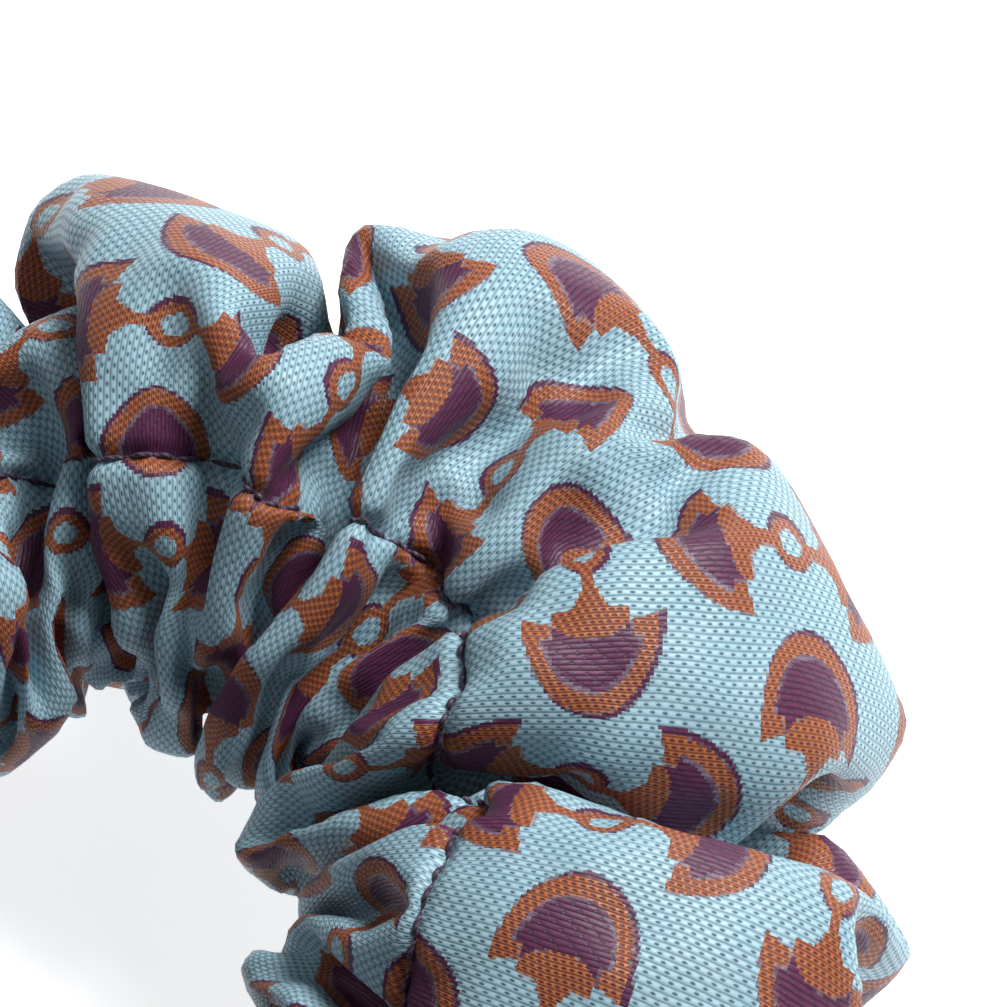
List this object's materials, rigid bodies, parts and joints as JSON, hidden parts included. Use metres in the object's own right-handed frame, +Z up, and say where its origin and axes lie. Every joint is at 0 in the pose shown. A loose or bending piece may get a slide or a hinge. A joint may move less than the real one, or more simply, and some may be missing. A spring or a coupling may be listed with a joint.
{
  "type": "scrunchie",
  "caption": "Gathered hair scrunchie: a puffed ring of jacquard cloth round a flat elastic loop, worn round a ponytail or bun.",
  "frame": {"origin": "centre of the ring, on the surface that it lies on", "axes": "+Z up, along the axis of the ring; X and Y lie in the plane of the ring, and the closing seam is 205 degrees round from +X"},
  "size_m": [0.122, 0.122, 0.0435],
  "materials": {
    "jacquard_cloth": "silk jacquard, pale teal ground with copper and purple motifs, soft sheen",
    "sewing_thread": "dark purple sewing thread, matt",
    "braided_elastic": "white braided elastic, matt",
    "elastic_thread": "white sewing thread, matt"
  },
  "bodies": {
    "cloth": {"cover": "jacquard_cloth", "long_seam_thread": "sewing_thread", "closing_seam_thread": "sewing_thread"},
    "elastic": {"elastic_band": "braided_elastic", "elastic_join_thread": "elastic_thread"}
  },
  "joints": [
    {"name": "cover_slip", "type": "hinge", "parent": "cloth", "child": "elastic", "pos_m": [0, 0, 0.0205], "axis": [0, 0, 1], "continuous": true}
  ]
}
